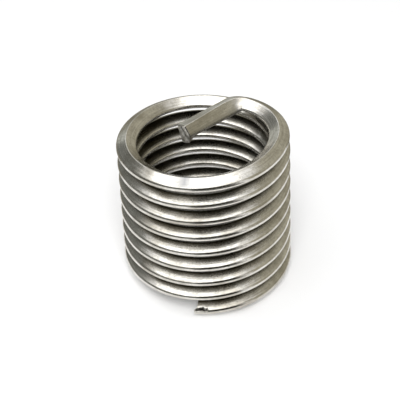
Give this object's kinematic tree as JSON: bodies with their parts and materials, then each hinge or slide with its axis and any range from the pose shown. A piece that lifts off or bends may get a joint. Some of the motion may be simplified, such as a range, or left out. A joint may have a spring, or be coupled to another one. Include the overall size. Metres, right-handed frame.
{
  "type": "helical wire thread insert",
  "caption": "Coil of diamond-section wire that lines a tapped hole with a new thread, with a bent driving tang across one end.",
  "frame": {"origin": "on the coil's axis, at the height of the lowest point of the cut tail", "axes": "+Z along the coil's axis from the tail, where the bolt enters, to the driving tang; +X is square to it, 101.5 degrees anticlockwise from the tail's cut, seen from above"},
  "size_m": [0.0124, 0.0124, 0.0123],
  "materials": {
    "wire": "drawn bright wire"
  },
  "bodies": {
    "root": {"wire_insert": "wire"}
  },
  "joints": []
}
